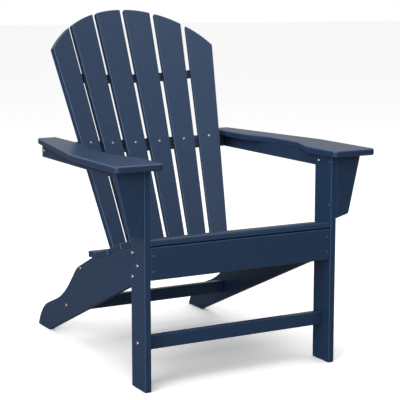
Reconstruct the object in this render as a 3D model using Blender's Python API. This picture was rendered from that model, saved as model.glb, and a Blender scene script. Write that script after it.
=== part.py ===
"""An adirondack chair built from boards of plastic lumber, with stainless bolts and screws.

Metres, +Z up, the sitter faces -Y and -X is the left side. The origin is on the floor, in the
middle of the chair's width and depth. Distances called "back from the front" start at the front
face of the front legs.
"""

import math

import bmesh
import bpy
from mathutils import Matrix, Vector

# Lumber, shared by every board
BOARD = 0.018
EDGE = 0.0025
FIT = 0.0003
BRACE_FIT = 0.0006
FLATNESS = 0.00005

# Front frame
INNER_WIDTH = 0.554
LEG_DEPTH = 0.081
APRON_SETBACK = 0.001
APRON_HEIGHT = 0.0865
STICK = 0.0375
FRONT_STRETCHER_BOTTOM = 0.1043
FRONT_STRETCHER_SETBACK = 0.035

# Seat: the underside of the boards follows these slopes from the front to the back
SEAT_FRONT_HEIGHT = 0.3855
FRONT_BOARD_WIDTH, SEAT_BOARD_WIDTH, REAR_BOARD_WIDTH = 0.084, 0.088, 0.0408
SEAT_GAP = 0.0053
SEAT_SLOPES = (9.8, 15.2, 20.6, 15.8, 6.9)
REAR_BOARD_RISE = 0.0035
SEAT_NOSE_RADIUS = 0.007

# Stringers behind the seat: the hump, the hollow and the heel are corners before rounding
STRINGER_ABOVE_APRON_FOOT = 0.0165
SEAT_REST = 0.020
HUMP_RUN, HUMP_DROP = 0.109, 0.049
HOLLOW_RUN, HOLLOW_HEIGHT = 0.1047, 0.1343
HEEL_RUN, HEEL_HEIGHT = 0.1739, 0.0669
TOE_RUN = 0.0330
FOOT_LENGTH = 0.0843
HUMP_RADIUS, HOLLOW_RADIUS, HEEL_RADIUS = 0.080, 0.320, 0.140
TOE_RADIUS = 0.0035
REAR_STRETCHER_RUN = 0.0722
REAR_STRETCHER_BOTTOM = 0.089

# Arms
ARM_TOP = 0.6033
ARM_OVERHANG = 0.042
ARM_REAR_OVERHANG = 0.008
ARM_OUTER = 0.117
ARM_FRONT_INNER = -0.020
ARM_WAIST_INNER = 0.0155
ARM_REAR_INNER = -0.012
ARM_REAR_OUTER = 0.046
ARM_TAPER_START = 0.233
ARM_TAPER_RADIUS = 0.220
ARM_WAIST_FRONT, ARM_WAIST_REAR = (0.074, 0.208), (0.335, 0.455)
ARM_OUTER_CORNER, ARM_INNER_CORNER, ARM_REAR_CORNER = 0.014, 0.014, 0.006
BRACKET_SETBACK = 0.0015
BRACKET_TOP_WIDTH, BRACKET_LOW_WIDTH = 0.0797, 0.0423
BRACKET_DEPTH, BRACKET_SHOULDER = 0.1756, 0.0112
BRACKET_CORNER = 0.010

# Back: a fan of slats on a shallow hollow, in a frame that leans back
LEAN = 23.9
SLATS = 6
SLAT_GAP = 0.0135
SLAT_YAW = 6.23
SLAT_TOP = 0.7881
SLAT_FOOT = 0.018
TOP_ARC_TO_FAN = 1.1226
STRINGER_CLEARANCE = 0.067
ARM_CLEARANCE = 0.0283
LOWER_BRACE_FROM_HUMP = (-0.0276, 0.0018)
LOWER_BRACE_BOLT_DEPTH = 0.0328
LOWER_BRACE_DEPTH = 0.044
MIDDLE_BRACE_DROP = 0.0041
CROSS_RAIL_BEHIND = 0.0488
RAIL_BEYOND_CROSS = 0.004
UPPER_BRACE_DEPTH = 0.035
UPPER_BRACE_DROP = 0.2145
UPPER_BRACE_SHORT = 0.046

# Fasteners
BOLT_HEAD, BOLT_HEAD_HEIGHT, BOLT_SHANK, BOLT_LENGTH = 0.0065, 0.0032, 0.003, 0.046
SCREW_HEAD, SCREW_HEAD_HEIGHT, SCREW_SHANK, SCREW_LENGTH = 0.0042, 0.0016, 0.0022, 0.036
SHORT_BOLT_SHY = 0.003
SHANK_TIP, HEAD_RIM, HEAD_DOME = 0.6, 0.35, (0.72, 0.85)
HOLE_CLEARANCE = 0.0004
LEG_BOLT_EDGE = 0.010
LEG_BOLT_FRONT, LEG_BOLT_SHARE = 0.0412, 0.41
STRINGER_BOLT_EDGE = 0.0142
RAIL_BOLT_BACK = 0.064
APRON_SCREW_EDGE = 0.0225
BRACKET_SCREW_DROPS = (0.018, 0.1376)
BRACE_SCREW_REACH = 0.080
BRACE_SCREW_RISE = 0.0035

SIDES = (("left", -1), ("right", 1))
ROUND_STEPS, HOLE_STEPS, EASED_STEPS, SLAT_TOP_STEPS = 12, 14, 12, 8
SETTLING_PASSES = 20

lean = math.radians(LEAN)
yaw = math.radians(SLAT_YAW)
half = INNER_WIDTH / 2
arm_under = ARM_TOP - BOARD
rail_bottom = arm_under - FIT - STICK
apron_top = SEAT_FRONT_HEIGHT - (BOARD - EDGE) * math.tan(math.radians(SEAT_SLOPES[0])) - FIT
apron_bottom = apron_top - APRON_HEIGHT
stringer_front = APRON_SETBACK + BOARD + FIT
stringer_inner = half - FIT - BOARD


def seat_facets():
    """(back, height) pairs where each seat board starts and ends on the stringers."""
    back, height = APRON_SETBACK, SEAT_FRONT_HEIGHT
    middle = len(SEAT_SLOPES) - 2
    widths = (FRONT_BOARD_WIDTH, *[SEAT_BOARD_WIDTH] * middle, REAR_BOARD_WIDTH)
    facets = []
    for index, (width, slope) in enumerate(zip(widths, SEAT_SLOPES)):
        run, drop = math.cos(math.radians(slope)), math.sin(math.radians(slope))
        end = (back + width * run, height - width * drop)
        facets.append(((back, height), end))
        rise = REAR_BOARD_RISE if index == middle else 0
        back, height = end[0] + SEAT_GAP * run, end[1] - SEAT_GAP * drop + rise
    return facets


def on_line(points, back):
    """The height at a distance back along a line of points."""
    for (y0, z0), (y1, z1) in zip(points, points[1:]):
        if back <= y1:
            break
    return z0 + (z1 - z0) * (back - y0) / (y1 - y0)


def part_way(start, end, distance):
    """The point at a distance from the start of a line."""
    start, end = Vector(start), Vector(end)
    return tuple(start + (end - start).normalized() * distance)


def rounded(corners):
    """A closed outline from (x, y, radius) corners, with an arc at each corner that has a radius."""
    outline = []
    for i, (x, y, radius) in enumerate(corners):
        here = Vector((x, y))
        before = (Vector(corners[i - 1][:2]) - here).normalized()
        after = (Vector(corners[(i + 1) % len(corners)][:2]) - here).normalized()
        bend = math.pi - before.angle(after)
        if radius <= 0 or bend < 1e-4:
            outline.append((x, y))
            continue
        run = radius * math.tan(bend / 2)
        steps = max(3, math.ceil(bend / (2 * math.acos(1 - FLATNESS / radius))))
        centre = here + (before + after).normalized() * radius / math.cos(bend / 2)
        start, end = here + before * run - centre, here + after * run - centre
        turn = start.angle_signed(end)
        for step in range(steps + 1):
            spoke = start.copy()
            spoke.rotate(Matrix.Rotation(-turn * step / steps, 2))
            outline.append(tuple(centre + spoke))
    return outline


seat = seat_facets()
seat_line = [corner for facet in seat[:-1] for corner in facet]
seat_line += [seat[-1][0], part_way(*seat[-1], SEAT_REST)]
hump = (seat_line[-1][0] + HUMP_RUN, seat_line[-1][1] - HUMP_DROP)
hollow = (hump[0] + HOLLOW_RUN, HOLLOW_HEIGHT)
heel = (hollow[0] + HEEL_RUN, HEEL_HEIGHT)
foot_rear = heel[0] + TOE_RUN
foot_front = foot_rear - FOOT_LENGTH
underside = [(APRON_SETBACK, apron_bottom + STRINGER_ABOVE_APRON_FOOT), (foot_front, 0)]
stringer_corners = [(foot_rear, 0, TOE_RADIUS), (*heel, HEEL_RADIUS), (*hollow, HOLLOW_RADIUS)]
stringer_corners += [(*hump, HUMP_RADIUS)]
stringer_corners += [(back, height - FIT, 0) for back, height in reversed(seat_line[1:])]
stringer_corners += [(stringer_front, on_line(seat_line, stringer_front) - FIT, 0)]
stringer_corners += [(stringer_front, on_line(underside, stringer_front), 0), (foot_front, 0, 0)]
stringer_outline = rounded(stringer_corners)
leg_front = (ARM_OVERHANG - max(back for back, _ in stringer_outline)) / 2


def world(x, back, height):
    return Vector((x, leg_front + back, height))


# The back's own frame: +X across, +s up the slats, +n out of their front
brace_bolt = (hump[0] + LOWER_BRACE_FROM_HUMP[0], hump[1] + LOWER_BRACE_FROM_HUMP[1])
back_up = Vector((0, math.sin(lean), math.cos(lean)))
back_out = Vector((0, -math.cos(lean), math.sin(lean)))
back_origin = world(0, *brace_bolt) + back_out * LOWER_BRACE_BOLT_DEPTH
middle_s = (arm_under - MIDDLE_BRACE_DROP - back_origin.z) / math.cos(lean)
upper_s = SLAT_TOP - UPPER_BRACE_DROP
fan_spread = sum(math.cos((k + 0.5) * yaw) for k in range(SLATS // 2))
low_pitch = (stringer_inner - STRINGER_CLEARANCE) / fan_spread
middle_pitch = (half + ARM_REAR_INNER - ARM_CLEARANCE) / fan_spread
pitch_growth = (middle_pitch - low_pitch) / middle_s
top_arc_radius = TOP_ARC_TO_FAN * (low_pitch + pitch_growth * SLAT_TOP) * fan_spread
cross_front = (back_origin + back_up * middle_s).y - leg_front + CROSS_RAIL_BEHIND
cross_rear = cross_front + BOARD
rail_rear = cross_rear + RAIL_BEYOND_CROSS


def back_point(x, s, n):
    return back_origin + Vector((x, 0, 0)) + back_up * s + back_out * n


def pitch_at(s):
    return low_pitch + pitch_growth * s


def slat_axis(index):
    """The direction across slat 1 to 6, turned towards the sitter on both sides."""
    turn = (index - (SLATS + 1) / 2) * yaw
    return Vector((math.cos(turn), 0, 0)) + back_out * math.sin(turn)


def fan_offset(steps):
    """From the back's middle line to a point that is a number of pitches across the fan."""
    side = math.copysign(1, steps)
    middle = (SLATS + 1) / 2
    total, left, index = Vector((0, 0, 0)), abs(steps), 0.5
    while left > 1e-9:
        total += slat_axis(middle + side * index) * min(left, 1) * side
        left, index = left - 1, index + 1
    return total


brace_screw_height = (back_origin + back_up * middle_s).z - CROSS_RAIL_BEHIND * math.tan(lean)
brace_screw_height += BRACE_SCREW_RISE


# --- Shapes -------------------------------------------------------------------------------------


def eased(start, end, x_from, x_to):
    """Points (x, back) of a soft S between two straight stretches of an edge."""
    points = []
    for step in range(EASED_STEPS + 1):
        t = step / EASED_STEPS
        x = x_from + (x_to - x_from) * (1 - math.cos(math.pi * t)) / 2
        points.append((x, start + (end - start) * t, 0))
    return points


def link(name, mesh, look):
    obj = bpy.data.objects.new(name, mesh)
    bpy.context.scene.collection.objects.link(obj)
    obj.data.materials.append(look)
    return obj


def round_edges(obj, width=EDGE):
    bevel = obj.modifiers.new("rounded edges", "BEVEL")
    bevel.width = width
    bevel.segments = 2
    bevel.limit_method = "ANGLE"
    bevel.angle_limit = math.radians(35)
    obj.data.shade_smooth()
    obj.data.set_sharp_from_angle(angle=math.radians(50))
    return obj


def board(name, outline, across, along, origin, thickness=BOARD):
    """A board: a flat outline in the plane of two unit vectors, thickened along their cross product."""
    mesh = bpy.data.meshes.new(name)
    shape = bmesh.new()
    face = shape.faces.new([shape.verts.new((x, y, 0)) for x, y in outline])
    face.normal_update()
    if face.normal.z > 0:
        face.normal_flip()
    grown = bmesh.ops.extrude_face_region(shape, geom=[face])
    top = [item for item in grown["geom"] if isinstance(item, bmesh.types.BMVert)]
    bmesh.ops.translate(shape, verts=top, vec=(0, 0, thickness))
    bmesh.ops.recalc_face_normals(shape, faces=shape.faces)
    shape.to_mesh(mesh)
    shape.free()
    obj = link(name, mesh, lumber)
    axes = Matrix((across, along, across.cross(along))).transposed().to_4x4()
    obj.matrix_world = Matrix.Translation(origin) @ axes
    return round_edges(obj)


def side_board(name, outline, x):
    """A board in a plane across X: its outline is (back, height) and it grows from x towards +X."""
    return board(name, outline, Vector((0, 1, 0)), Vector((0, 0, 1)), world(x, 0, 0))


def rectangle(x0, y0, x1, y1):
    return [(x0, y0), (x1, y0), (x1, y1), (x0, y1)]


def facing_board(name, outline, back):
    """A board in a plane across Y: its outline is (x, height) and its front face is at this back."""
    return board(name, outline, Vector((1, 0, 0)), Vector((0, 0, 1)), world(0, back + BOARD, 0))


def fastener(name, place, direction, kind):
    """A domed head that sits on a face, with its shank along the direction."""
    head, height, shank, length = kind
    profile = [(0, -length), (shank * SHANK_TIP, -length), (shank, -length + shank)]
    profile += [(shank, FIT), (head, FIT), (head, FIT + height * HEAD_RIM)]
    profile += [(head * HEAD_DOME[0], FIT + height * HEAD_DOME[1]), (0, FIT + height)]
    mesh = bpy.data.meshes.new(name)
    shape = bmesh.new()
    ring = [shape.verts.new((x, 0, z)) for x, z in profile]
    edges = [shape.edges.new(pair) for pair in zip(ring, ring[1:])]
    bmesh.ops.spin(shape, geom=ring + edges, axis=(0, 0, 1), cent=(0, 0, 0),
                   angle=2 * math.pi, steps=ROUND_STEPS)
    bmesh.ops.remove_doubles(shape, verts=shape.verts, dist=1e-6)
    bmesh.ops.recalc_face_normals(shape, faces=shape.faces)
    shape.to_mesh(mesh)
    shape.free()
    mesh.shade_smooth()
    mesh.set_sharp_from_angle(angle=math.radians(50))
    obj = link(name, mesh, steel)
    obj.rotation_euler = (-direction).to_track_quat("Z", "Y").to_euler()
    obj.location = place
    return obj


def drill(pieces, place, direction, kind):
    """A clearance hole for a fastener's shank, through each of the pieces."""
    length = kind[3] + HOLE_CLEARANCE
    mesh = bpy.data.meshes.new("drill")
    shape = bmesh.new()
    bmesh.ops.create_cone(shape, cap_ends=True, segments=HOLE_STEPS, depth=length + BOARD,
                          radius1=kind[2] + HOLE_CLEARANCE, radius2=kind[2] + HOLE_CLEARANCE)
    shape.to_mesh(mesh)
    shape.free()
    cutter = link("drill", mesh, steel)
    cutter.rotation_euler = direction.to_track_quat("Z", "Y").to_euler()
    cutter.location = place + direction * (length - BOARD) / 2
    cut(pieces, cutter)


def cut(pieces, cutter):
    cutter.hide_render = True
    cutter.display_type = "WIRE"
    for piece in pieces:
        hole = piece.modifiers.new("cut", "BOOLEAN")
        hole.operation = "DIFFERENCE"
        hole.solver = "EXACT"
        hole.object = cutter


def fix(name, pieces, place, direction, kind):
    """A bolt or a screw, and the hole that it passes through."""
    drill(pieces, place, direction, kind)
    return fastener(name, place, direction, kind)


# --- Frame --------------------------------------------------------------------------------------


def make_legs():
    """The two front legs, with their broad faces to the sides."""
    outline = rectangle(0, 0, LEG_DEPTH, arm_under - FIT)
    return {name: side_board(f"front_leg_{name}", outline, half if side > 0 else -half - BOARD)
            for name, side in SIDES}


def make_stringers():
    """The side boards that carry the seat and end in the rear feet."""
    return {name: side_board(f"stringer_{name}", stringer_outline,
                             stringer_inner if side > 0 else -half + FIT)
            for name, side in SIDES}


def crosspiece(name, reach, back, bottom, height=STICK):
    """A straight board on edge between two faces, with the usual gap at each end."""
    outline = rectangle(FIT - reach, bottom, reach - FIT, bottom + height)
    return facing_board(name, outline, back)


def seat_board(index):
    """One seat board, lying on its facet of the stringers; the front one has a rounded nose."""
    start, end = seat[index]
    slope = math.radians(SEAT_SLOPES[index])
    width = math.dist(start, end)
    nose = 0 if index else SEAT_NOSE_RADIUS
    outline = rounded([(0, 0, 0), (width, 0, 0), (width, BOARD, 0), (0, BOARD, nose)])
    down = Vector((0, math.cos(slope), -math.sin(slope)))
    up = Vector((0, math.sin(slope), math.cos(slope)))
    return board(f"seat_board_{index + 1}", outline, down, up, world(FIT - half, *start),
                 INNER_WIDTH - 2 * FIT)


# --- Arms ---------------------------------------------------------------------------------------


def make_arm(name, side):
    """An armrest: wide in front, waisted inside over the rail, tapering to the back."""
    rear = rail_rear + ARM_REAR_OVERHANG
    inner_front, inner_waist = half + ARM_FRONT_INNER, half + ARM_WAIST_INNER
    inner_rear, outer = half + ARM_REAR_INNER, half + ARM_OUTER
    corners = [(outer, -ARM_OVERHANG, ARM_OUTER_CORNER), (outer, ARM_TAPER_START, ARM_TAPER_RADIUS)]
    corners += [(half + ARM_REAR_OUTER, rear, ARM_REAR_CORNER), (inner_rear, rear, ARM_REAR_CORNER)]
    corners += reversed(eased(*ARM_WAIST_REAR, inner_waist, inner_rear))
    corners += reversed(eased(*ARM_WAIST_FRONT, inner_front, inner_waist))
    corners += [(inner_front, -ARM_OVERHANG, ARM_INNER_CORNER)]
    outline = [(x * side, back) for x, back in rounded(corners)]
    return board(f"armrest_{name}", outline, Vector((1, 0, 0)), Vector((0, 1, 0)),
                 world(0, 0, arm_under))


def make_rail(name, side):
    """The rail on edge under an armrest, outside the leg."""
    outline = rectangle(BRACKET_SETBACK + BOARD + FIT, rail_bottom, rail_rear, arm_under - FIT)
    near = half + BOARD + FIT
    return side_board(f"arm_rail_{name}", outline, near if side > 0 else -near - BOARD)


def make_bracket(name, side):
    """The shaped bracket outside a leg, under the front of the armrest."""
    near, top = half + BOARD + FIT, arm_under - FIT
    low = top - BRACKET_DEPTH
    corners = [(near, top, 0), (near, low, 0)]
    corners += [(near + BRACKET_LOW_WIDTH, low + BRACKET_SHOULDER, BRACKET_CORNER)]
    corners += [(near + BRACKET_TOP_WIDTH, top, 0)]
    outline = [(x * side, height) for x, height in rounded(corners)]
    return facing_board(f"arm_bracket_{name}", outline, BRACKET_SETBACK)


# --- Back ---------------------------------------------------------------------------------------


def slat_frame(index):
    """The unit vectors across, along and out of a slat, and its point on the lower brace's plane."""
    steps = index - (SLATS + 1) / 2
    across = slat_axis(index)
    drift = back_up + fan_offset(steps) * pitch_growth
    out = across.cross(drift).normalized()
    out = out if out.dot(back_out) > 0 else -out
    return across, out.cross(across), out, back_origin + fan_offset(steps) * low_pitch


def slat_top(index, u):
    """How far up the arc is, at a distance u across a slat."""
    steps = index - (SLATS + 1) / 2
    offset, across = fan_offset(steps), slat_axis(index)
    s = SLAT_TOP
    for _ in range(SETTLING_PASSES):
        x = offset.x * pitch_at(s) + across.x * u
        s = SLAT_TOP - top_arc_radius + math.sqrt(top_arc_radius**2 - x**2)
    return s


def slat_half_width(s):
    return (pitch_at(s) - SLAT_GAP) / 2


def make_slat(index):
    """A tapered back slat, its top cut to the arc that all the slats share."""
    across, along, out, origin = slat_frame(index)
    offset = fan_offset(index - (SLATS + 1) / 2)
    edge_points = [(-1, -SLAT_FOOT), (1, -SLAT_FOOT)]
    points = [(side * slat_half_width(s), s) for side, s in edge_points]
    top_reach = {}
    for side in (1, -1):
        reach = slat_half_width(SLAT_TOP)
        for _ in range(SETTLING_PASSES):
            reach = slat_half_width(slat_top(index, side * reach))
        top_reach[side] = reach
    for step in range(SLAT_TOP_STEPS + 1):
        u = top_reach[1] - (top_reach[1] + top_reach[-1]) * step / SLAT_TOP_STEPS
        points.append((u, slat_top(index, u)))
    outline = []
    for u, s in points:
        offset_here = back_origin + back_up * s + offset * pitch_at(s) + across * u - origin
        outline.append((offset_here.dot(across), offset_here.dot(along)))
    return board(f"back_slat_{index}", outline, across, along, origin - out * BOARD)


def brace_edge(s, steps, depth):
    """Corners (x, n) of an edge that follows the slats at a depth behind their fronts."""
    corners = []
    whole = math.ceil(steps)
    for k in range(-whole, whole + 1):
        inner = abs(k) < whole
        offset = fan_offset(k if inner else math.copysign(steps, k)) * pitch_at(s)
        turn = yaw * (k if inner else math.copysign(whole - 0.5, k))
        mitre = depth / (math.cos(yaw / 2) if inner else 1)
        corners.append((offset.x + mitre * math.sin(turn),
                        offset.dot(back_out) - mitre * math.cos(turn)))
    return corners


def brace(name, outline, s):
    """A brace square to the slats, with the middle of its thickness at s."""
    outline = [(-x, n) for x, n in outline]
    return board(name, outline, Vector((-1, 0, 0)), back_out, back_point(0, s - BOARD / 2, 0))


def make_lower_brace():
    """The brace between the stringers that the feet of the slats are held to."""
    reach = stringer_inner - FIT
    front = brace_edge(0, SLATS / 2, BOARD + BRACE_FIT)
    rear = -BOARD - LOWER_BRACE_DEPTH
    outline = [(-reach, rear), (-reach, front[0][1]), *front, (reach, front[0][1]), (reach, rear)]
    return brace("lower_back_brace", outline, 0)


def make_middle_brace():
    """The brace between the slats and the cross rail, its rear edge sawn upright."""
    front = brace_edge(middle_s, SLATS / 2, BOARD + BRACE_FIT)
    rear = -BOARD - CROSS_RAIL_BEHIND / math.cos(lean)
    outline = [(front[0][0], rear), *front, (front[-1][0], rear)]
    piece = brace("middle_back_brace", outline, middle_s)
    mesh = bpy.data.meshes.new("saw")
    shape = bmesh.new()
    bmesh.ops.create_cube(shape, size=1)
    shape.to_mesh(mesh)
    shape.free()
    saw = link("saw", mesh, lumber)
    depth = CROSS_RAIL_BEHIND * 2
    saw.scale = (INNER_WIDTH, depth, depth)
    saw.location = world(0, cross_front - FIT + depth / 2, arm_under - depth / 4)
    cut([piece], saw)
    return piece


def make_upper_brace():
    """The upper brace, which follows the slats with both of its long edges."""
    steps = SLATS / 2 - UPPER_BRACE_SHORT / pitch_at(upper_s)
    front = brace_edge(upper_s, steps, BOARD + BRACE_FIT)
    rear = brace_edge(upper_s, steps, BOARD + UPPER_BRACE_DEPTH)
    return brace("upper_back_brace", front + rear[::-1], upper_s)


# --- Fasteners ----------------------------------------------------------------------------------

bolt = (BOLT_HEAD, BOLT_HEAD_HEIGHT, BOLT_SHANK, BOLT_LENGTH)
short_bolt = (BOLT_HEAD, BOLT_HEAD_HEIGHT, BOLT_SHANK, 2 * BOARD - SHORT_BOLT_SHY)
screw = (SCREW_HEAD, SCREW_HEAD_HEIGHT, SCREW_SHANK, SCREW_LENGTH)


def fix_side(name, side, made):
    """All the bolts and screws of one side of the chair."""
    inward, outward = Vector((-side, 0, 0)), Vector((side, 0, 0))
    leg, stringer = made[f"front_leg_{name}"], made[f"stringer_{name}"]
    rail, bracket = made[f"arm_rail_{name}"], made[f"arm_bracket_{name}"]
    leg_out, leg_in = side * (half + BOARD), side * half
    rear = LEG_DEPTH - LEG_BOLT_EDGE
    low = on_line(underside, LEG_BOLT_FRONT)
    places = [(rear, on_line(seat_line, rear) - STRINGER_BOLT_EDGE),
              (LEG_BOLT_FRONT, low + (on_line(seat_line, LEG_BOLT_FRONT) - low) * LEG_BOLT_SHARE),
              (rear, on_line(underside, rear) + STRINGER_BOLT_EDGE)]
    for number, (back, height) in enumerate(places, 1):
        fix(f"leg_bolt_{name}_{number}", [leg, stringer], world(leg_out, back, height), inward,
            short_bolt)
    back = FRONT_STRETCHER_SETBACK + BOARD / 2
    height = FRONT_STRETCHER_BOTTOM + STICK / 2
    fix(f"front_stretcher_bolt_{name}", [leg, made["front_stretcher"]],
        world(leg_out, back, height), inward, bolt)
    stringer_out = side * (half - FIT)
    back = hump[0] + REAR_STRETCHER_RUN + BOARD / 2
    height = REAR_STRETCHER_BOTTOM + STICK / 2
    fix(f"rear_stretcher_bolt_{name}", [stringer, made["rear_stretcher"]],
        world(stringer_out, back, height), inward, bolt)
    fix(f"lower_brace_bolt_{name}", [stringer, made["lower_back_brace"]],
        world(stringer_out, *brace_bolt), inward, bolt)
    height = rail_bottom + STICK / 2
    fix(f"cross_rail_bolt_{name}", [rail, made["arm_cross_rail"]],
        world(side * (half + 2 * BOARD + FIT), cross_front + BOARD / 2, height), inward, bolt)
    fix(f"arm_rail_bolt_{name}", [leg, rail], world(leg_in, RAIL_BOLT_BACK, height), outward,
        short_bolt)
    fix(f"brace_screw_{name}", [made["arm_cross_rail"], made["middle_back_brace"]],
        world(side * BRACE_SCREW_REACH, cross_rear, brace_screw_height), Vector((0, -1, 0)), screw)
    for number, drop in enumerate(BRACKET_SCREW_DROPS, 1):
        place = world(leg_in, BRACKET_SETBACK + BOARD / 2, arm_under - drop)
        fix(f"bracket_screw_{name}_{number}", [leg, bracket], place, outward, screw)
    for number, height in enumerate((apron_top - APRON_SCREW_EDGE,
                                     apron_bottom + APRON_SCREW_EDGE), 1):
        place = world(side * (half - FIT - BOARD / 2), APRON_SETBACK, height)
        fix(f"apron_screw_{name}_{number}", [made["front_apron"], stringer], place,
            Vector((0, 1, 0)), screw)


def fix_slat(index, made):
    """The screw that holds a back slat to the middle brace."""
    _, _, out, _ = slat_frame(index)
    steps = index - (SLATS + 1) / 2
    place = back_origin + back_up * middle_s + fan_offset(steps) * pitch_at(middle_s)
    fix(f"slat_screw_{index}", [made[f"back_slat_{index}"], made["middle_back_brace"]], place, -out,
        screw)


# --- The chair ----------------------------------------------------------------------------------


def clear_scene():
    for obj in list(bpy.data.objects):
        bpy.data.objects.remove(obj, do_unlink=True)


def finish(name, colour, roughness, metallic):
    look = bpy.data.materials.new(name)
    look.use_nodes = True
    shader = look.node_tree.nodes["Principled BSDF"]
    shader.inputs["Base Color"].default_value = (*colour, 1)
    shader.inputs["Roughness"].default_value = roughness
    shader.inputs["Metallic"].default_value = metallic
    return look


def make_chair():
    made = {}
    pieces = [*make_legs().values(), *make_stringers().values()]
    pieces.append(crosspiece("front_apron", half, APRON_SETBACK, apron_bottom, APRON_HEIGHT))
    pieces.append(crosspiece("front_stretcher", half, FRONT_STRETCHER_SETBACK,
                             FRONT_STRETCHER_BOTTOM))
    pieces.append(crosspiece("rear_stretcher", stringer_inner, hump[0] + REAR_STRETCHER_RUN,
                             REAR_STRETCHER_BOTTOM))
    pieces.append(crosspiece("arm_cross_rail", half + BOARD + FIT, cross_front, rail_bottom))
    pieces += [seat_board(index) for index in range(len(SEAT_SLOPES))]
    for name, side in SIDES:
        pieces += [make_arm(name, side), make_rail(name, side), make_bracket(name, side)]
    pieces += [make_slat(index) for index in range(1, SLATS + 1)]
    pieces += [make_lower_brace(), make_middle_brace(), make_upper_brace()]
    for piece in pieces:
        made[piece.name] = piece
    for name, side in SIDES:
        fix_side(name, side, made)
    for index in range(1, SLATS + 1):
        fix_slat(index, made)


clear_scene()
lumber = finish("navy plastic lumber", (0.028, 0.053, 0.115), 0.5, 0.0)
steel = finish("stainless steel", (0.62, 0.63, 0.65), 0.3, 1.0)
make_chair()
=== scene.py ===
"""Looks of a navy adirondack chair, built on its CAD frame.

Every board is milled again from its CAD node with finely rounded edges, a grain that runs along its
length and sawn ends. Every bolt and screw gets a domed head with a driving socket. Units are
metres, +Z is up and the sitter faces -Y.
"""

import logging
import math
from dataclasses import dataclass, field
from enum import Enum

import bmesh
import bpy
import numpy as np
from mathutils import Matrix, Vector


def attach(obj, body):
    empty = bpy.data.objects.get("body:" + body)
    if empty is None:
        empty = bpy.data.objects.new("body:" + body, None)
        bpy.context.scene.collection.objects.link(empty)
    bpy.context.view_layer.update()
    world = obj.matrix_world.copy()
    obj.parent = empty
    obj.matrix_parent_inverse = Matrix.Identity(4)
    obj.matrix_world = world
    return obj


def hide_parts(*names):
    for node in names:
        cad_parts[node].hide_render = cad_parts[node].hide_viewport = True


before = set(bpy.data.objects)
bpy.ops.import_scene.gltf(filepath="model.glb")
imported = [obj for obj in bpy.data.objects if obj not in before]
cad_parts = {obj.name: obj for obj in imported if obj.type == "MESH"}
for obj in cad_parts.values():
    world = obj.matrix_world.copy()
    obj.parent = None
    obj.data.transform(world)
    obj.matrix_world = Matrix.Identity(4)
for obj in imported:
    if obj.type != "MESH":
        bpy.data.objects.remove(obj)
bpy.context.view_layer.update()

LOG = logging.getLogger("adirondack_chair")
MM = 0.001
SIDES = ("left", "right")
SIDEWAYS = Vector((1, 0, 0))
FORE_AND_AFT = Vector((0, 1, 0))
UPWARDS = Vector((0, 0, 1))
HDPE_IOR = 1.53


class Slot(Enum):
    """The record's material slots."""

    LUMBER = "navy_lumber"
    STEEL = "stainless_fastener"


class Reading(Enum):
    """How a board's outline is read off its CAD node."""

    BROAD_FACE = "the outline of its broad face, thickened"
    SECTION = "its cross-section, drawn out along its length"
    AS_SAWN = "the node's own facets, for a board with a slanted saw cut"


# --- Finishes ---------------------------------------------------------------------------------


def linear(hex_colour: str) -> tuple[float, float, float, float]:
    """Turns an sRGB hex colour into the linear RGBA that a shader takes.

    Args:
        hex_colour: six hex digits after a "#".

    Returns:
        Linear red, green and blue, and an alpha of 1.
    """
    channels = [int(hex_colour[i : i + 2], 16) / 255 for i in (1, 3, 5)]
    red, green, blue = (
        c / 12.92 if c <= 0.04045 else ((c + 0.055) / 1.055) ** 2.4 for c in channels
    )
    return red, green, blue, 1.0


def add_node(
    tree: bpy.types.NodeTree,
    kind: str,
    settings: dict[str, object],
    links: dict[str | int, bpy.types.NodeSocket] | None = None,
) -> bpy.types.Node:
    """Adds a shader node.

    Args:
        tree: the material's node tree.
        kind: the node's type name, without "ShaderNode".
        settings: values for the node's properties, or for its inputs by name or number.
        links: for an input's name or number, the output that feeds it.

    Returns:
        The new node.
    """
    node = tree.nodes.new("ShaderNode" + kind)
    for name, value in settings.items():
        if isinstance(name, str) and hasattr(node, name):
            setattr(node, name, value)
        else:
            node.inputs[name].default_value = value
    for name, output in (links or {}).items():
        tree.links.new(output, node.inputs[name])
    return node


def blank_material(
    name: str,
) -> tuple[bpy.types.Material, bpy.types.NodeTree, bpy.types.Node]:
    """Starts a material.

    Args:
        name: its name.

    Returns:
        The material, its node tree and its surface shader.
    """
    material = bpy.data.materials.new(name)
    material.use_nodes = True
    tree = material.node_tree
    return material, tree, tree.nodes["Principled BSDF"]


def emboss(
    tree: bpy.types.NodeTree, height: bpy.types.NodeSocket, strength: float, depth: float
) -> None:
    """Gives the surface shader a relief.

    Args:
        tree: the material's node tree.
        height: the output that says how high each point is.
        strength: how much of the relief shows.
        depth: how deep it is.
    """
    bump = add_node(tree, "Bump", {"Strength": strength, "Distance": depth}, {"Height": height})
    tree.links.new(bump.outputs["Normal"], tree.nodes["Principled BSDF"].inputs["Normal"])


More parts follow.
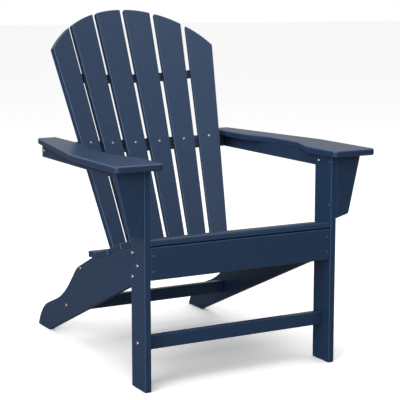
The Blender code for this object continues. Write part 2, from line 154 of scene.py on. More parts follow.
@dataclass(frozen=True)
class PlasticLumber:
    """Extruded HDPE lumber: a dull, waxy skin with an embossed grain along the board.

    The grain is shallow, so it breaks up the sheen and hardly changes the colour. A real emboss
    is about a millimetre across, too fine to show at this size, so it is drawn coarser here.

    Attributes:
        colour: the navy of the skin.
        dark_streak: the pigment where it is densest.
        painted_edge_highlight: a lighter navy painted along the rounded edges as a highlight,
            patchy by the pebble noise.
        roughness: the skin's mean roughness.
        roughness_spread: how far the emboss changes it.
        streak_width: across the grain.
        streak_length: along the grain.
        pebble: the size of the grainy emboss.
        relief: its depth, as deep in proportion as it is coarse.
        strength: how much of the relief shows.
    """

    name: str = "extruded HDPE lumber, embossed grain"
    colour: str = "#264365"
    dark_streak: str = "#1A304C"
    # painted highlight: the lighter navy laid along the rounded edges
    painted_edge_highlight: str = "#3C5D86"
    roughness: float = 0.34
    roughness_spread: float = 0.10
    streak_width: float = 3.2 * MM
    streak_length: float = 24 * MM
    pebble: float = 3.0 * MM
    relief: float = 0.30 * MM
    strength: float = 0.5

    def build(self) -> bpy.types.Material:
        """Makes the material.

        Returns:
            The material.
        """
        material, tree, shader = blank_material(self.name)
        shader.inputs["IOR"].default_value = HDPE_IOR
        place = add_node(tree, "Attribute", {"attribute_name": "grain"}).outputs["Vector"]
        stretch = (1 / self.streak_length, 1 / self.streak_width, 1 / self.streak_width)
        along = add_node(tree, "Mapping", {"Scale": stretch}, {"Vector": place})
        streaks = add_node(
            tree, "TexNoise", {"Scale": 1.0, "Detail": 3.0}, {"Vector": along.outputs["Vector"]}
        )
        pebbles = add_node(
            tree, "TexNoise", {"Scale": 1 / self.pebble, "Detail": 2.0}, {"Vector": place}
        )
        tone = add_node(
            tree,
            "Mix",
            {"data_type": "RGBA", 6: linear(self.dark_streak), 7: linear(self.colour)},
            {0: streaks.outputs["Fac"]},
        )
        # Painted highlight: a lighter navy is mixed into the skin along the rounded edges,
        # strongest halfway round each rounding and patchy by the pebble noise.
        edge = add_node(tree, "Attribute", {"attribute_name": "edge"})
        edge_highlight_mask = add_node(
            tree,
            "Math",
            {"operation": "MULTIPLY"},
            {0: edge.outputs["Fac"], 1: pebbles.outputs["Fac"]},
        )
        lightened = add_node(
            tree,
            "Mix",
            {"data_type": "RGBA", 7: linear(self.painted_edge_highlight)},
            {0: edge_highlight_mask.outputs["Value"], 6: tone.outputs[2]},
        )
        tree.links.new(lightened.outputs[2], shader.inputs["Base Color"])
        gloss = add_node(
            tree,
            "MapRange",
            {
                "To Min": self.roughness - self.roughness_spread / 2,
                "To Max": self.roughness + self.roughness_spread / 2,
            },
            {"Value": pebbles.outputs["Fac"]},
        )
        tree.links.new(gloss.outputs["Result"], shader.inputs["Roughness"])
        relief = add_node(
            tree,
            "Math",
            {"operation": "ADD"},
            {0: streaks.outputs["Fac"], 1: pebbles.outputs["Fac"]},
        )
        emboss(tree, relief.outputs["Value"], self.strength, self.relief)
        return material


@dataclass(frozen=True)
class SawnEnd:
    """The sawn end of an HDPE board: fine saw lines, duller than the skin.

    Attributes:
        colour: the navy inside the board, darker than the skin.
        roughness: the sawn face's roughness.
        saw_line: the pitch of the saw lines.
        relief: their depth.
        strength: how much of the relief shows.
        waver: how unevenly the lines run.
        wave_scale: how many bands the wave texture draws per unit of its scale.
    """

    name: str = "HDPE lumber, sawn end"
    colour: str = "#20395A"
    roughness: float = 0.55
    saw_line: float = 1.2 * MM
    relief: float = 0.08 * MM
    strength: float = 0.4
    waver: float = 1.5
    wave_scale: float = 20.0

    def build(self) -> bpy.types.Material:
        """Makes the material.

        Returns:
            The material.
        """
        material, tree, shader = blank_material(self.name)
        shader.inputs["IOR"].default_value = HDPE_IOR
        shader.inputs["Roughness"].default_value = self.roughness
        place = add_node(tree, "Attribute", {"attribute_name": "grain"}).outputs["Vector"]
        lines = add_node(
            tree,
            "TexWave",
            {
                "bands_direction": "Y",
                "Scale": 1 / self.saw_line / self.wave_scale,
                "Distortion": self.waver,
            },
            {"Vector": place},
        )
        grit = add_node(
            tree, "TexNoise", {"Scale": 1 / self.saw_line, "Detail": 2.0}, {"Vector": place}
        )
        tone = add_node(
            tree,
            "Mix",
            {"data_type": "RGBA", 6: linear(self.colour), 7: linear(PlasticLumber.dark_streak)},
            {0: grit.outputs["Fac"]},
        )
        tree.links.new(tone.outputs[2], shader.inputs["Base Color"])
        emboss(tree, lines.outputs["Fac"], self.strength, self.relief)
        return material


@dataclass(frozen=True)
class StainlessSteel:
    """Tumbled stainless steel: bright, with a soft grain that blurs the glint.

    Attributes:
        colour: the steel's reflection.
        roughness: its mean roughness.
        roughness_spread: how far the scratches change it.
        scratch: the size of the scratches, drawn coarser than real ones, which would not show.
        relief: their depth.
        strength: how much of the relief shows.
    """

    name: str = "stainless steel, tumbled"
    colour: str = "#B4B6B9"
    roughness: float = 0.26
    roughness_spread: float = 0.12
    scratch: float = 0.6 * MM
    relief: float = 0.02 * MM
    strength: float = 0.2

    def build(self) -> bpy.types.Material:
        """Makes the material.

        Returns:
            The material.
        """
        material, tree, shader = blank_material(self.name)
        shader.inputs["Base Color"].default_value = linear(self.colour)
        shader.inputs["Metallic"].default_value = 1.0
        place = add_node(tree, "TexCoord", {}).outputs["Object"]
        grain = add_node(
            tree, "TexNoise", {"Scale": 1 / self.scratch, "Detail": 3.0}, {"Vector": place}
        )
        gloss = add_node(
            tree,
            "MapRange",
            {
                "To Min": self.roughness - self.roughness_spread / 2,
                "To Max": self.roughness + self.roughness_spread / 2,
            },
            {"Value": grain.outputs["Fac"]},
        )
        tree.links.new(gloss.outputs["Result"], shader.inputs["Roughness"])
        emboss(tree, grain.outputs["Fac"], self.strength, self.relief)
        return material


@dataclass(frozen=True)
class ScrewCoat:
    """A baked navy coat on a stainless screw: dull, with an orange peel that breaks up the glint.

    Attributes:
        colour: the coat's navy.
        lightened: the lighter tops of the orange peel.
        roughness: the coat's roughness.
        peel: the size of the orange peel.
        relief: its depth.
        strength: how much of the relief shows.
    """

    name: str = "stainless screw, navy coated"
    colour: str = "#263C5C"
    lightened: str = "#50617A"
    roughness: float = 0.38
    peel: float = 0.8 * MM
    relief: float = 0.03 * MM
    strength: float = 0.3

    def build(self) -> bpy.types.Material:
        """Makes the material.

        Returns:
            The material.
        """
        material, tree, shader = blank_material(self.name)
        shader.inputs["Roughness"].default_value = self.roughness
        place = add_node(tree, "TexCoord", {}).outputs["Object"]
        peel = add_node(
            tree, "TexNoise", {"Scale": 1 / self.peel, "Detail": 2.0}, {"Vector": place}
        )
        tone = add_node(
            tree,
            "Mix",
            {"data_type": "RGBA", 6: linear(self.colour), 7: linear(self.lightened)},
            {0: peel.outputs["Fac"]},
        )
        tree.links.new(tone.outputs[2], shader.inputs["Base Color"])
        emboss(tree, peel.outputs["Fac"], self.strength, self.relief)
        return material


@dataclass(frozen=True)
class StudioPaper:
    """Seamless white paper, matt and a little uneven, lit until it is white.

    It looks white, with soft grey shadows. The chair gets a dimmer bounce from it than the eye
    does, as if the paper ended close to the chair.

    Attributes:
        colour: the paper as the chair is lit by it.
        shade: the same, in its darker patches.
        fibre: the size of the patches.
        seen: its brightness to the eye, over 1 because an overexposed sweep clips to white.
        roughness: the paper's roughness.
        specular: how little it mirrors.
    """

    name: str = "seamless white paper"
    colour: str = "#747474"
    shade: str = "#6E6E6E"
    fibre: float = 30 * MM
    seen: float = 1.60
    roughness: float = 0.9
    specular: float = 0.1

    def build(self) -> bpy.types.Material:
        """Makes the material.

        Returns:
            The material.
        """
        material, tree, shader = blank_material(self.name)
        shader.inputs["Roughness"].default_value = self.roughness
        shader.inputs["Specular IOR Level"].default_value = self.specular
        place = add_node(tree, "TexCoord", {}).outputs["Object"]
        cloud = add_node(tree, "TexNoise", {"Scale": 1 / self.fibre}, {"Vector": place})
        tone = add_node(
            tree,
            "Mix",
            {"data_type": "RGBA", 6: linear(self.colour), 7: linear(self.shade)},
            {0: cloud.outputs["Fac"]},
        )
        tree.links.new(tone.outputs[2], shader.inputs["Base Color"])
        seen = add_node(tree, "BsdfDiffuse", {"Color": (self.seen, self.seen, self.seen, 1.0)})
        eye = add_node(tree, "LightPath", {})
        mixed = add_node(
            tree,
            "MixShader",
            {},
            {0: eye.outputs["Is Camera Ray"], 1: shader.outputs["BSDF"], 2: seen.outputs["BSDF"]},
        )
        tree.links.new(mixed.outputs["Shader"], tree.nodes["Material Output"].inputs["Surface"])
        return material


# --- Boards -----------------------------------------------------------------------------------


@dataclass
class BoardShape:
    """A board's outline and thickness, in a frame of its own.

    Attributes:
        outline: points (u, v) around the board, anticlockwise seen from +w.
        low: the lower face's w.
        high: the upper face's w.
        basis: the frame's u, v and w directions and its origin, in the row frame.
    """

    outline: list[Vector]
    low: float
    high: float
    basis: Matrix


@dataclass(frozen=True)
class BoardReader:
    """Reads a board's outline off its CAD node.

    Attributes:
        weld: how close two corners are when they are one.
        upright: the most that an upright face's normal may lean towards the line of sight.
        shortest: the shortest edge that an outline keeps.
        straight: the least turn, in degrees, that makes a point of the outline a corner.
        facing_steps: into how many steps a normal's coordinate is rounded to sort the faces.
    """

    weld: float = 0.01 * MM
    upright: float = 0.02
    shortest: float = 0.05 * MM
    straight: float = 0.2
    facing_steps: int = 40

    def read(self, node: str, normal: Vector | None, along: Vector | None) -> BoardShape:
        """Finds the outline of a board, seen along a direction.

        Args:
            node: the CAD node.
            normal: the direction to look along, or None for the broad face's normal.
            along: the direction of the outline's first axis, or None for its longest edge.

        Returns:
            The outline and the thickness.
        """
        solid = self.welded(node)
        w = normal or self.broad_normal(solid)
        loop = self.outer_loop(solid, w)
        heights = [vertex.co.dot(w) for vertex in solid.verts]
        solid.free()
        edges = [b - a for a, b in zip(loop, loop[1:] + loop[:1])]
        u = along or max(edges, key=lambda edge: edge.length)
        u = (u - w * u.dot(w)).normalized()
        v = w.cross(u)
        centre = sum(loop, Vector()) / len(loop)
        flat = [Vector(((p - centre).dot(u), (p - centre).dot(v))) for p in loop]
        if self.signed_area(flat) < 0:
            flat.reverse()
        middle = (min(heights) + max(heights)) / 2
        half = (max(heights) - min(heights)) / 2
        origin = centre + w * (middle - centre.dot(w))
        basis = Matrix((u, v, w)).transposed().to_4x4()
        return BoardShape(self.thinned(flat), -half, half, Matrix.Translation(origin) @ basis)

    def welded(self, node: str) -> bmesh.types.BMesh:
        """Joins the split corners of a node's mesh.

        Args:
            node: the CAD node.

        Returns:
            A new mesh, for the caller to free.
        """
        solid = bmesh.new()
        solid.from_mesh(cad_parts[node].data)
        bmesh.ops.remove_doubles(solid, verts=solid.verts, dist=self.weld)
        solid.normal_update()
        return solid

    def broad_normal(self, solid: bmesh.types.BMesh) -> Vector:
        """Finds the direction that the largest flat area faces.

        Args:
            solid: the board.

        Returns:
            A unit vector.
        """
        areas: dict[tuple[int, ...], list[float | Vector]] = {}
        for face in solid.faces:
            key = tuple(round(c * self.facing_steps) for c in face.normal)
            entry = areas.setdefault(key, [0.0, Vector()])
            entry[0] += face.calc_area()
            entry[1] += face.normal * face.calc_area()
        return max(areas.values(), key=lambda entry: entry[0])[1].normalized()

    def outer_loop(self, solid: bmesh.types.BMesh, w: Vector) -> list[Vector]:
        """Follows the line along the top of the upright faces.

        Args:
            solid: the board.
            w: the direction that counts as up.

        Returns:
            The points of the line, the longest one if there are several.
        """
        heights = [vertex.co.dot(w) for vertex in solid.verts]
        middle = (min(heights) + max(heights)) / 2
        links: dict[bmesh.types.BMVert, list[bmesh.types.BMVert]] = {}
        for edge in solid.edges:
            upright = [f for f in edge.link_faces if abs(f.normal.dot(w)) < self.upright]
            a, b = edge.verts
            if len(upright) == 1 and a.co.dot(w) > middle and b.co.dot(w) > middle:
                links.setdefault(a, []).append(b)
                links.setdefault(b, []).append(a)
        loops = []
        while links:
            first = next(iter(links))
            loop, here = [], first
            while here in links:
                nexts = links.pop(here)
                loop.append(here.co.copy())
                here = next((n for n in nexts if n in links), first)
            loops.append(loop)
        return max(loops, key=lambda loop: sum((b - a).length for a, b in zip(loop, loop[1:])))

    def signed_area(self, flat: list[Vector]) -> float:
        """Twice the area inside an outline, positive when it runs anticlockwise."""
        return sum(a.x * b.y - b.x * a.y for a, b in zip(flat, flat[1:] + flat[:1]))

    def thinned(self, flat: list[Vector]) -> list[Vector]:
        """Leaves out points that lie on top of each other or on a straight line.

        Args:
            flat: the outline.

        Returns:
            The corners that are left.
        """
        kept = [p for i, p in enumerate(flat) if (p - flat[i - 1]).length > self.shortest]
        found = []
        for i, p in enumerate(kept):
            before, after = p - kept[i - 1], kept[(i + 1) % len(kept)] - p
            if before.angle(after) > math.radians(self.straight):
                found.append(p)
        return found


@dataclass
class Board:
    """One board, milled from its CAD node.

    Attributes:
        node: the CAD node, whose name the board takes.
        reading: how the outline is read.
        grain: the direction of the grain, or None for the outline's longest edge.
        edge: the radius of the rounded long edges.
        arc_steps: how many strips the rounding has.
        passes: how often an outline that was drawn in is checked for corners that have crossed.
        end_facing: how squarely a face must look along the grain to be a sawn end.
        crease: the angle, in degrees, above which the facets of an as-sawn board look sharp.
    """

    node: str
    reading: Reading = Reading.BROAD_FACE
    grain: Vector | None = None
    edge: float = 2.4 * MM
    arc_steps: int = 5
    passes: int = 4
    end_facing: float = 0.9
    crease: float = 30.0

    def build(self, lumber: bpy.types.Material, sawn: bpy.types.Material) -> bpy.types.Object:
        """Makes the board's object and lets it stand for its node.

        Args:
            lumber: the finish of the skin.
            sawn: the finish of the ends.

        Returns:
            The board.
        """
        obj = self.as_sawn() if self.reading is Reading.AS_SAWN else self.milled()
        for material in (lumber, sawn):
            obj.data.materials.append(material)
        for polygon in obj.data.polygons:
            polygon.material_index = int(abs(polygon.normal.x) > self.end_facing)
        self.set_down(obj)
        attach(obj, "root")
        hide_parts(self.node)
        return obj

    def set_down(self, obj: bpy.types.Object) -> None:
        """Keeps the grain's coordinates on the points, then turns the board into its place.

        Args:
            obj: the board, whose own +X is the direction of the grain.
        """
        along = [number for vertex in obj.data.vertices for number in vertex.co]
        obj.data.attributes.new("grain", "FLOAT_VECTOR", "POINT").data.foreach_set("vector", along)
        obj.data.transform(obj.matrix_world)
        obj.matrix_world = Matrix()

    def milled(self) -> bpy.types.Object:
        """Makes a solid with finely rounded edges on the outline.

        Returns:
            The board, in a frame whose +X is the direction of the grain.
        """
        section = self.reading is Reading.SECTION
        normal = self.grain if section else None
        shape = BoardReader().read(self.node, normal, None if section else self.grain)
        points, normals, faces, edges = self.lofted(shape)
        basis = shape.basis
        if section:
            turn = Matrix(((0, 0, 1, 0), (1, 0, 0, 0), (0, 1, 0, 0), (0, 0, 0, 1)))
            points = [turn @ point for point in points]
            normals = [turn @ normal for normal in normals]
            basis = basis @ turn.inverted()
        mesh = bpy.data.meshes.new(self.node)
        mesh.from_pydata(points, [], faces)
        mesh.attributes.new("edge", "FLOAT", "POINT").data.foreach_set("value", edges)
        mesh.shade_smooth()
        mesh.normals_split_custom_set_from_vertices(normals)
        obj = bpy.data.objects.new(f"board_{self.node}", mesh)
        bpy.context.scene.collection.objects.link(obj)
        obj.matrix_world = basis
        return obj

    def as_sawn(self) -> bpy.types.Object:
        """Takes over the node's facets, joined and shaded by their angle.

        Returns:
            The board, about its own middle.
        """
        solid = BoardReader().welded(self.node)
        origin = sum((vertex.co for vertex in solid.verts), Vector()) / len(solid.verts)
        bmesh.ops.translate(solid, verts=solid.verts, vec=-origin)
        mesh = bpy.data.meshes.new(self.node)
        solid.to_mesh(mesh)
        solid.free()
        mesh.shade_smooth()
        mesh.set_sharp_from_angle(angle=math.radians(self.crease))
        obj = bpy.data.objects.new(f"board_{self.node}", mesh)
        bpy.context.scene.collection.objects.link(obj)
        obj.matrix_world = Matrix.Translation(origin)
        return obj

    def lofted(
        self, shape: BoardShape
    ) -> tuple[list[Vector], list[Vector], list[list[int]], list[float]]:
        """Stacks rings of the outline, drawn in where the edges are rounded.

        Args:
            shape: the outline and the thickness.

        Returns:
            The points (u, v, w), their normals, the faces, and how far each point is onto an edge.
        """
        outline, count = shape.outline, len(shape.outline)
        arc = [i / self.arc_steps * math.pi / 2 for i in range(self.arc_steps + 1)]
        rings = [(angle, -1, shape.low) for angle in reversed(arc)]
        rings += [(angle, 1, shape.high) for angle in arc]
        points, normals, edges = [], [], []
        for angle, side, face in rings:
            height = face - side * self.edge * (1 - math.sin(angle))
            inset = self.edge * (1 - math.cos(angle))
            points += [Vector((*p, height)) for p in self.drawn_in(outline, inset)]
            normals += [
                Vector((*out * math.cos(angle), side * math.sin(angle)))
                for out in self.outwards(outline)
            ]
            # the edge mask, highest halfway round each rounding, where the skin's painted highlight
            # is laid
            edges += [math.sin(2 * angle)] * count
        last_ring = (len(rings) - 1) * count
        faces = [list(reversed(range(count))), list(range(last_ring, last_ring + count))]
        for ring in range(len(rings) - 1):
            for i in range(count):
                a, b = ring * count + i, ring * count + (i + 1) % count
                faces.append([a, b, b + count, a + count])
        return points, normals, self.closed_up(points, faces), edges

    def closed_up(self, points: list[Vector], faces: list[list[int]]) -> list[list[int]]:
        """Makes corners that fall on the same spot one corner.

        Args:
            points: the points.
            faces: the corners of each face, as numbers of points.

        Returns:
            The faces that still have three corners or more.
        """
        first: dict[tuple[float, ...], int] = {}
        same = [first.setdefault(tuple(round(c, 6) for c in p), i) for i, p in enumerate(points)]
        merged = [list(dict.fromkeys(same[corner] for corner in face)) for face in faces]
        return [face for face in merged if len(face) > 2]

    def outwards(self, outline: list[Vector]) -> list[Vector]:
        """Finds the direction out of the board at each point, led by the longer edge at it.

        Args:
            outline: the outline.

        Returns:
            A unit vector for each point.
        """
        found = []
        for i, p in enumerate(outline):
            before, after = p - outline[i - 1], outline[(i + 1) % len(outline)] - p
            run = before * before.length + after * after.length
            found.append(Vector((run.y, -run.x)).normalized())
        return found

    def drawn_in(self, outline: list[Vector], distance: float) -> list[Vector]:
        """Moves the outline inwards, square to its edges, and lets tight corners close.

        Args:
            outline: the outline.
            distance: how far.

        Returns:
            The moved outline, with as many points as before.
        """
        found = []
        for i, p in enumerate(outline):
            before = (p - outline[i - 1]).normalized()
            after = (outline[(i + 1) % len(outline)] - p).normalized()
            inwards = Vector((-before.y, before.x)) + Vector((-after.y, after.x))
            found.append(p + inwards * distance / (1 + before.dot(after)))
        for _ in range(self.passes):
            for i, p in enumerate(outline):
                before = i - 1
                if (found[i] - found[before]).dot(p - outline[before]) <= 0:
                    found[i] = found[before] = (found[i] + found[before]) / 2
        return found


# --- Bolts and screws -------------------------------------------------------------------------

# How the head and the shank are told apart: the crown is the points this close to the top, the head
# the points with at least this share of the widest radius, and the shank all points this far below.
CROWN_DEPTH = 0.1 * MM
HEAD_SHARE = 0.95
BELOW_HEAD = 5 * MM
# The socket starts this share of the way up the head, and narrows by the same share to its floor.
SOCKET_CHAMFER = 0.97

@dataclass
class Fastener:
    """A bolt or screw with a domed head, at its CAD node.

    Attributes:
        node: the CAD node.
        socket_sides: 6 for a hex socket, 4 for a square one.
        socket_share: the socket's width as a share of the head's.
        dome: how far round the head's dome reaches, in degrees; less is flatter.
        steps: how many sides stand for a circle.
        dome_steps: how many strips the dome has.
        tip: the radius of the shank's tip as a share of the shank's.
        rim: the height of the head's upright rim as a share of the head's.
        under_rim: the underside's radius as a share of the head's.
        lip: the radius where the dome ends as a share of the socket's.
        floor: the height of the socket's floor as a share of the head's.
        crease: the angle, in degrees, above which facets look sharp.
    """

    node: str
    socket_sides: int = 6
    socket_share: float = 0.5
    dome: float = 62.0
    steps: int = 48
    dome_steps: int = 6
    tip: float = 0.6
    rim: float = 0.12
    under_rim: float = 0.96
    lip: float = 1.12
    floor: float = 0.35
    crease: float = 40.0

    def build(self, steel: bpy.types.Material) -> bpy.types.Object:
        """Turns the fastener about its axis and lets it stand for its node.

        Args:
            steel: the finish.

        Returns:
            The fastener.
        """
        mesh, basis = self.turned()
        mesh.shade_smooth()
        mesh.set_sharp_from_angle(angle=math.radians(self.crease))
        mesh.materials.append(steel)
        obj = bpy.data.objects.new(f"fastener_{self.node}", mesh)
        bpy.context.scene.collection.objects.link(obj)
        obj.matrix_world = basis
        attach(obj, "root")
        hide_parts(self.node)
        return obj

    def measured(self) -> tuple[Matrix, float, float, float, float]:
        """Reads the fastener's place and sizes off its CAD node.

        Returns:
            A frame on the underside of the head with +Z out of it, the head's radius and height,
            and the shank's radius and length.
        """
        points = np.array([vertex.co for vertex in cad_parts[self.node].data.vertices])
        middle = points.mean(axis=0)
        axis = np.linalg.svd(points - middle)[2][0]
        radii = np.linalg.norm((points - middle) - np.outer((points - middle) @ axis, axis), axis=1)
        if ((points - middle) @ axis)[radii.argmax()] < 0:
            axis = -axis
        heights = (points - middle) @ axis
        crown = points[heights > heights.max() - CROWN_DEPTH].mean(axis=0)
        axle = middle + (crown - middle) @ axis * axis
        radii = np.linalg.norm((points - axle) - np.outer((points - axle) @ axis, axis), axis=1)
        head = radii > radii.max() * HEAD_SHARE
        under, head_radius = heights[head].min(), radii.max()
        shank = radii[heights < under - BELOW_HEAD].max()
        turn = Vector(axis).to_track_quat("Z", "Y").to_matrix().to_4x4()
        place = Vector(axle - axis * (heights.max() - under))
        length = under - heights.min()
        return Matrix.Translation(place) @ turn, head_radius, heights.max() - under, shank, length

    def profile(
        self, radius: float, height: float, shank: float, length: float
    ) -> list[tuple[float, float, bool]]:
        """Draws the fastener's outline, from the tip of the shank to the floor of the socket.

        Args:
            radius: the head's radius.
            height: the head's height.
            shank: the shank's radius.
            length: the shank's length.

        Returns:
            For each ring its radius, its height, and whether it has the socket's flat sides.
        """
        socket = radius * self.socket_share
        rings = [
            (shank * self.tip, -length, False),
            (shank, -length + shank, False),
            (shank, 0.0, False),
            (radius * self.under_rim, 0.0, False),
            (radius, height * self.rim, False),
        ]
        dome = math.radians(self.dome)
        for step in range(1, self.dome_steps + 1):
            a = step / self.dome_steps * dome
            rise = height * self.rim + height * (1 - self.rim) * math.sin(a) / math.sin(dome)
            drawn_in = (1 - math.cos(a)) / (1 - math.cos(dome))
            rings.append((radius - (radius - socket * self.lip) * drawn_in, rise, False))
        chamfered = height * SOCKET_CHAMFER
        return rings + [
            (socket, chamfered, True),
            (socket * SOCKET_CHAMFER, height * self.floor, True),
        ]

    def turned(self) -> tuple[bpy.types.Mesh, Matrix]:
        """The head with its socket, and the shank.

        Returns:
            The mesh, and the frame that places it.
        """
        basis, *sizes = self.measured()
        mesh = bpy.data.meshes.new(self.node)
        solid = bmesh.new()
        loops = []
        for reach, rise, flat_sided in self.profile(*sizes):
            loop = []
            for i in range(self.steps):
                turn = i / self.steps * math.tau
                r = reach
                if flat_sided:
                    part = math.tau / self.socket_sides
                    r = reach * math.cos(part / 2) / math.cos(turn % part - part / 2)
                loop.append(solid.verts.new((r * math.cos(turn), r * math.sin(turn), rise)))
            loops.append(loop)
        for lower, upper in zip(loops, loops[1:]):
            for i in range(self.steps):
                j = (i + 1) % self.steps
                solid.faces.new((lower[i], lower[j], upper[j], upper[i]))
        solid.faces.new(list(reversed(loops[0])))
        solid.faces.new(loops[-1])
        bmesh.ops.recalc_face_normals(solid, faces=solid.faces)
        solid.to_mesh(mesh)
        solid.free()
        return mesh, basis


@dataclass
class Screw(Fastener):
    """A wood screw: a low head with a square socket."""

    socket_sides: int = 4
    socket_share: float = 0.56
    dome: float = 38.0


# --- Sub-assemblies ---------------------------------------------------------------------------


@dataclass
class Workshop:
    """The finishes, and the pieces made so far.

    Attributes:
        lumber: the skin of a board.
        sawn: a board's sawn ends.
        steel: bright bolts and screws.
        coat: screws that are coated to match the lumber.
        pieces: what was made, in order.
    """

    lumber: bpy.types.Material
    sawn: bpy.types.Material
    steel: bpy.types.Material
    coat: bpy.types.Material
    pieces: list[bpy.types.Object] = field(default_factory=list)

    def mill(self, board: Board) -> bpy.types.Object:
        """Builds a board and reports it.

        Args:
            board: the board to build.

        Returns:
            The finished board.
        """
        piece = board.build(self.lumber, self.sawn)
        self.pieces.append(piece)
        LOG.info("milled %s", piece.name)
        return piece

    def fasten(self, fastener: Fastener, coated: bool = False) -> bpy.types.Object:
        """Builds a fastener and reports it.

        Args:
            fastener: the fastener to build.
            coated: whether it is coated to match the lumber.

        Returns:
            The finished fastener.
        """
        piece = fastener.build(self.coat if coated else self.steel)
        self.pieces.append(piece)
        LOG.info("drove %s", piece.name)
        return piece


@dataclass
class FrontFrame:
    """The legs, the apron and the front stretcher, with their bolts and screws."""

    leg_bolts: int = 3
    apron_screws: int = 2
    socket_share: float = 0.52

    def build(self, shop: Workshop) -> None:
        """Builds the front frame.

        Args:
            shop: where the pieces are made.
        """
        for side in SIDES:
            shop.mill(Board(f"front_leg_{side}"))
            for number in range(1, self.leg_bolts + 1):
                shop.fasten(Fastener(f"leg_bolt_{side}_{number}", socket_share=self.socket_share))
            shop.fasten(Fastener(f"front_stretcher_bolt_{side}", socket_share=self.socket_share))
            for number in range(1, self.apron_screws + 1):
                shop.fasten(Screw(f"apron_screw_{side}_{number}"), coated=True)
        shop.mill(Board("front_apron"))
        shop.mill(Board("front_stretcher"))


@dataclass
class RearFrame:
    """The stringers and the rear stretcher, with their bolts."""

    def build(self, shop: Workshop) -> None:
        """Builds the rear frame.

        Args:
            shop: where the pieces are made.
        """
        for side in SIDES:
            shop.mill(Board(f"stringer_{side}"))
            shop.fasten(Fastener(f"rear_stretcher_bolt_{side}"))
        shop.mill(Board("rear_stretcher"))


@dataclass
class Seat:
    """The boards across the stringers."""

    boards: int = 5

    def build(self, shop: Workshop) -> None:
        """Builds the seat.

        Args:
            shop: where the pieces are made.
        """
        for number in range(1, self.boards + 1):
            shop.mill(Board(f"seat_board_{number}", Reading.SECTION, SIDEWAYS))


@dataclass
class FanBack:
    """The back slats and the braces behind them."""

    slats: int = 6

    def build(self, shop: Workshop) -> None:
        """Builds the back.

        Args:
            shop: where the pieces are made.
        """
        for number in range(1, self.slats + 1):
            shop.mill(Board(f"back_slat_{number}"))
            shop.fasten(Screw(f"slat_screw_{number}"))
        shop.mill(Board("lower_back_brace", grain=SIDEWAYS))
        shop.mill(Board("middle_back_brace", Reading.AS_SAWN))
        shop.mill(Board("upper_back_brace", grain=SIDEWAYS))
        for side in SIDES:
            shop.fasten(Fastener(f"lower_brace_bolt_{side}"))
            shop.fasten(Screw(f"brace_screw_{side}"))


@dataclass
class Arms:
    """The armrests, their rails and brackets, and the cross rail behind."""

    bracket_screws: int = 2
    arm_edge: float = 4.5 * MM

    def build(self, shop: Workshop) -> None:
        """Builds the arms.

        Args:
            shop: where the pieces are made.
        """
        for side in SIDES:
            shop.mill(Board(f"armrest_{side}", grain=FORE_AND_AFT, edge=self.arm_edge))
            shop.mill(Board(f"arm_rail_{side}"))
            shop.mill(Board(f"arm_bracket_{side}", grain=UPWARDS))
            shop.fasten(Fastener(f"arm_rail_bolt_{side}"))
            shop.fasten(Fastener(f"cross_rail_bolt_{side}"))
            for number in range(1, self.bracket_screws + 1):
                shop.fasten(Screw(f"bracket_screw_{side}_{number}"), coated=True)
        shop.mill(Board("arm_cross_rail"))


@dataclass(frozen=True)
class SoftBox:
    """A large rectangular light that points at the chair.

    Attributes:
        name: the light's name.
        place: its middle.
        width: its width.
        height: its height.
        glow: its radiance, where 1 is a white surface in full light.
        aim: the point it faces.
    """

    name: str
    place: tuple[float, float, float]
    width: float
    height: float
    glow: float
    aim: tuple[float, float, float] = (0.0, 0.0, 0.4)

    def hang(self) -> None:
        """Adds the light to the scene."""
        data = bpy.data.lights.new(self.name, "AREA")
        data.shape, data.size, data.size_y = "RECTANGLE", self.width, self.height
        data.energy = self.glow * self.width * self.height * math.pi
        lamp = bpy.data.objects.new(self.name, data)
        lamp.location = self.place
        beam = Vector(self.aim) - lamp.location
        lamp.rotation_euler = beam.to_track_quat("-Z", "Y").to_euler()
        bpy.context.scene.collection.objects.link(lamp)


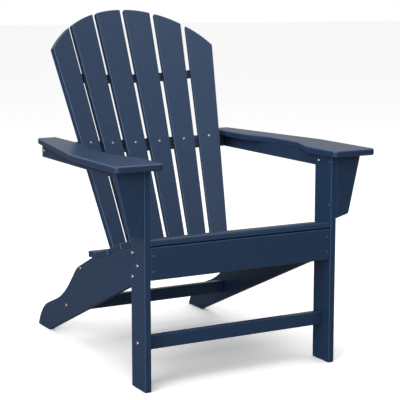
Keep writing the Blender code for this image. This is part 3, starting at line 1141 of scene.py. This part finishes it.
@dataclass
class Studio:
    """White paper, soft light from above, the left and the front, and the camera.

    Attributes:
        camera_place: where the camera stands.
        camera_turn: its tilt up from straight down and its turn about +Z, in degrees.
        lens: its focal length in millimetres.
        camera_far: how far it sees.
        paper_half: half the side of the paper.
        room: how bright the room is in front.
        wall: how bright it is on the wall side.
        wall_side: the direction of that wall, behind the chair and to its right.
        wall_from: how far towards that direction the wall starts to brighten.
        ceiling: how much brighter the room gets straight up.
        backdrop: how bright the room looks behind the chair.
        lights: the soft boxes.
    """

    camera_place: tuple[float, float, float] = (-1.6669, -3.1657, 1.0145)
    camera_turn: tuple[float, float] = (80.74, -28.79)
    lens: float = 112.2
    camera_far: float = 200.0
    paper_half: float = 40.0
    room: float = 0.17
    wall: float = 0.37
    wall_side: tuple[float, float, float] = (0.5, 0.87, 0.0)
    wall_from: float = -0.2
    ceiling: float = 0.54
    backdrop: float = 1.0
    lights: tuple[SoftBox, ...] = (
        SoftBox("overhead", (0.0, -0.2, 3.4), 2.6, 2.6, 1.5),
        SoftBox("key", (-3.4, -1.6, 1.7), 2.6, 2.8, 3.4),
        SoftBox("front", (-2.8, -5.2, 2.2), 3.4, 2.4, 3.2),
    )

    def build(self) -> None:
        """Builds the studio."""
        bpy.context.scene.view_settings.view_transform = "Standard"
        self.lay_paper()
        self.hang_lights()
        self.set_camera()

    def lay_paper(self) -> None:
        """Lays the paper floor."""
        mesh = bpy.data.meshes.new("paper_floor")
        half = self.paper_half
        corners = [(-half, -half, 0), (half, -half, 0), (half, half, 0), (-half, half, 0)]
        mesh.from_pydata(corners, [], [range(len(corners))])
        floor = bpy.data.objects.new("paper_floor", mesh)
        mesh.materials.append(StudioPaper().build())
        bpy.context.scene.collection.objects.link(floor)

    def hang_lights(self) -> None:
        """Sets a dim room that shows white to the camera, and large soft lights."""
        world = bpy.data.worlds.new("white surround")
        world.use_nodes = True
        tree = world.node_tree
        way = add_node(tree, "TexCoord", {}).outputs["Generated"]
        rear_right = add_node(
            tree, "VectorMath", {"operation": "DOT_PRODUCT", 1: self.wall_side}, {0: way}
        )
        walls = add_node(
            tree,
            "MapRange",
            {"From Min": self.wall_from, "To Min": self.room, "To Max": self.wall},
            {"Value": rear_right.outputs["Value"]},
        )
        up = add_node(tree, "SeparateXYZ", {}, {"Vector": way}).outputs["Z"]
        ceiling = add_node(tree, "MapRange", {"To Max": self.ceiling}, {"Value": up})
        glow = add_node(
            tree,
            "Math",
            {"operation": "ADD"},
            {0: walls.outputs["Result"], 1: ceiling.outputs["Result"]},
        )
        room = tree.nodes["Background"]
        room.inputs["Color"].default_value = linear("#FFFFFF")
        tree.links.new(glow.outputs["Value"], room.inputs["Strength"])
        white = add_node(
            tree, "Background", {"Color": linear("#FFFFFF"), "Strength": self.backdrop}
        )
        eye = add_node(tree, "LightPath", {})
        mixed = add_node(
            tree,
            "MixShader",
            {},
            {0: eye.outputs["Is Camera Ray"], 1: room.outputs[0], 2: white.outputs[0]},
        )
        tree.links.new(mixed.outputs["Shader"], tree.nodes["World Output"].inputs["Surface"])
        bpy.context.scene.world = world
        for light in self.lights:
            light.hang()

    def set_camera(self) -> None:
        """Sets the camera at standing height, in front of the chair's left side."""
        data = bpy.data.cameras.new("camera")
        data.lens, data.clip_end = self.lens, self.camera_far
        camera = bpy.data.objects.new("camera", data)
        camera.location = self.camera_place
        tilt, turn = self.camera_turn
        camera.rotation_euler = (math.radians(tilt), 0.0, math.radians(turn))
        bpy.context.scene.collection.objects.link(camera)
        bpy.context.scene.camera = camera


def main() -> None:
    """Builds the chair's sub-assemblies in order, then the studio."""
    logging.basicConfig(level=logging.INFO, format="%(name)s: %(message)s")
    finishes = (PlasticLumber(), SawnEnd(), StainlessSteel(), ScrewCoat())
    shop = Workshop(*(finish.build() for finish in finishes))
    for assembly in (FrontFrame(), RearFrame(), Seat(), FanBack(), Arms()):
        assembly.build(shop)
        LOG.info("%s done, %d pieces so far", type(assembly).__name__, len(shop.pieces))
    Studio().build()


if __name__ == "__main__":
    main()
